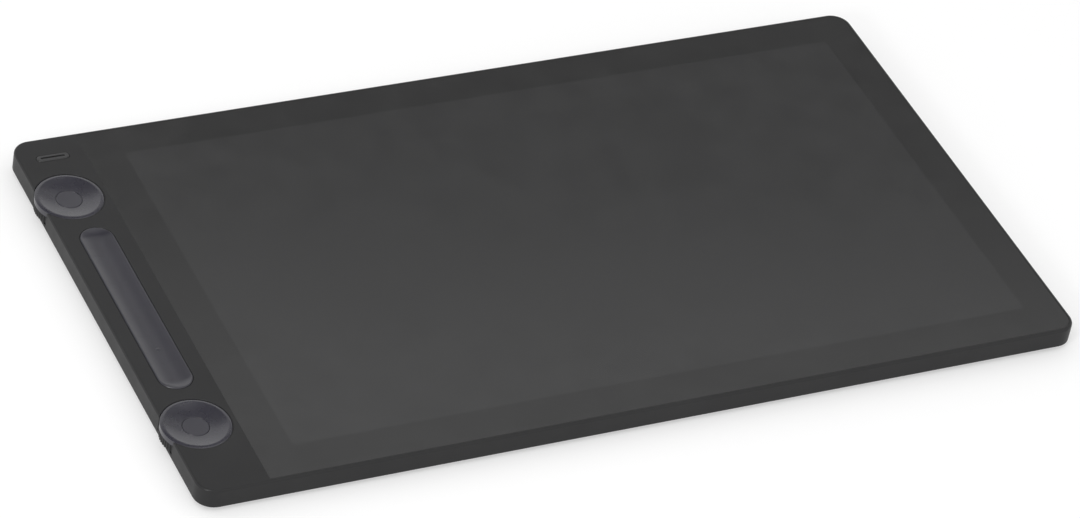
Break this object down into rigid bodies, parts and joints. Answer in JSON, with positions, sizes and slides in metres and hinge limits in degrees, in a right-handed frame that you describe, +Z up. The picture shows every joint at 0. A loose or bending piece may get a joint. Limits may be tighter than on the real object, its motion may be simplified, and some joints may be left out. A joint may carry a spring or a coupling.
{
  "type": "graphics tablet with screen",
  "caption": "Flat drawing tablet with a large glass screen, dished dials set through the left wall, a sunk row of scooped keys and a power button.",
  "frame": {"origin": "centre of the footprint, dials included, on the desk plane", "axes": "+X to the right along the long side, +Y to the back edge, +Z up out of the screen"},
  "size_m": [0.4174, 0.2334, 0.0121],
  "materials": {
    "housing_plastic": "fine matt moulded plastic",
    "cover_plastic": "fine matt moulded plastic",
    "foot_rubber": "soft black rubber",
    "etched_glass": "anti-glare etched cover glass with a dark print behind it",
    "control_plastic": "satin grey plastic, slightly violet",
    "grip_rubber": "ribbed dark grip",
    "window_plastic": "dark light window",
    "screw_steel": "blackened screws",
    "sheet_steel": "stamped sheet",
    "sheet_aluminium": "stamped sheet",
    "board": "green circuit board",
    "panel_glass": "display panel",
    "clear_plastic": "clear light guide",
    "pale_plastic": "connector and lamp plastic",
    "black_plastic": "black moulded plastic",
    "flex_film": "amber flexible circuit",
    "magnet": "plastic-bonded magnet",
    "bearing_plastic": "low-friction plastic",
    "spring_steel": "spring leaf"
  },
  "bodies": {
    "chassis": {"upper_housing": "housing_plastic", "rear_cover": "cover_plastic", "rubber_feet": "foot_rubber", "cover_screws": "screw_steel", "front_glass": "etched_glass", "glass_tape": "black_plastic", "display_panel": "panel_glass", "backlight_tray": "sheet_aluminium", "light_guide": "clear_plastic", "light_bar": "pale_plastic", "digitizer_board": "board", "shield_plate": "sheet_aluminium", "mid_plate": "sheet_aluminium", "plate_screws": "sheet_steel", "main_board": "board", "shield_can": "sheet_steel", "usb_c_port_back": "sheet_steel", "usb_c_port_front": "sheet_steel", "flex_connectors": "pale_plastic", "board_screws": "sheet_steel", "display_flex": "flex_film", "control_flex": "flex_film", "digitizer_connector": "pale_plastic", "control_board": "board", "key_switches": "black_plastic", "key_guide": "bearing_plastic", "guide_screws": "sheet_steel", "power_switch": "black_plastic", "power_led": "pale_plastic", "hall_sensors": "black_plastic", "dial_switches": "black_plastic", "spindle_back": "bearing_plastic", "spindle_clip_back": "sheet_steel", "detent_spring_back": "spring_steel", "spindle_front": "bearing_plastic", "spindle_clip_front": "sheet_steel", "detent_spring_front": "spring_steel"},
    "power_key": {"power_button": "control_plastic", "power_light": "window_plastic"},
    "back_dial": {"dial_cap_back": "control_plastic", "dial_grip_back": "grip_rubber", "dial_magnet_back": "magnet"},
    "back_dial_button": {"dial_button_back": "control_plastic"},
    "front_dial": {"dial_cap_front": "control_plastic", "dial_grip_front": "grip_rubber", "dial_magnet_front": "magnet"},
    "front_dial_button": {"dial_button_front": "control_plastic"},
    "key_1_cap": {"key_1": "control_plastic"},
    "key_2_cap": {"key_2": "control_plastic"},
    "key_3_cap": {"key_3": "control_plastic"},
    "key_4_cap": {"key_4": "control_plastic"},
    "key_5_cap": {"key_5": "control_plastic"},
    "key_6_cap": {"key_6": "control_plastic"}
  },
  "joints": [
    {"name": "power_press", "type": "slide", "parent": "chassis", "child": "power_key", "axis": [0, 0, -1], "range_m": [0, 0.0004], "stiffness_N_per_m": 1200, "springref_m": -0.0003},
    {"name": "back_dial_turn", "type": "hinge", "parent": "chassis", "child": "back_dial", "pos_m": [-0.1935, 0.0758, 0.009], "axis": [0, 0, 1], "continuous": true},
    {"name": "back_dial_press", "type": "slide", "parent": "chassis", "child": "back_dial_button", "axis": [0, 0, -1], "range_m": [0, 0.0004], "stiffness_N_per_m": 900, "springref_m": -0.0003},
    {"name": "front_dial_turn", "type": "hinge", "parent": "chassis", "child": "front_dial", "pos_m": [-0.1935, -0.0758, 0.009], "axis": [0, 0, 1], "continuous": true},
    {"name": "front_dial_press", "type": "slide", "parent": "chassis", "child": "front_dial_button", "axis": [0, 0, -1], "range_m": [0, 0.0004], "stiffness_N_per_m": 900, "springref_m": -0.0003},
    {"name": "key_1_press", "type": "slide", "parent": "chassis", "child": "key_1_cap", "axis": [0, 0, -1], "range_m": [0, 0.0005], "stiffness_N_per_m": 900, "springref_m": -0.0003},
    {"name": "key_2_press", "type": "slide", "parent": "chassis", "child": "key_2_cap", "axis": [0, 0, -1], "range_m": [0, 0.0005], "stiffness_N_per_m": 900, "springref_m": -0.0003},
    {"name": "key_3_press", "type": "slide", "parent": "chassis", "child": "key_3_cap", "axis": [0, 0, -1], "range_m": [0, 0.0005], "stiffness_N_per_m": 900, "springref_m": -0.0003},
    {"name": "key_4_press", "type": "slide", "parent": "chassis", "child": "key_4_cap", "axis": [0, 0, -1], "range_m": [0, 0.0005], "stiffness_N_per_m": 900, "springref_m": -0.0003},
    {"name": "key_5_press", "type": "slide", "parent": "chassis", "child": "key_5_cap", "axis": [0, 0, -1], "range_m": [0, 0.0005], "stiffness_N_per_m": 900, "springref_m": -0.0003},
    {"name": "key_6_press", "type": "slide", "parent": "chassis", "child": "key_6_cap", "axis": [0, 0, -1], "range_m": [0, 0.0005], "stiffness_N_per_m": 900, "springref_m": -0.0003}
  ]
}
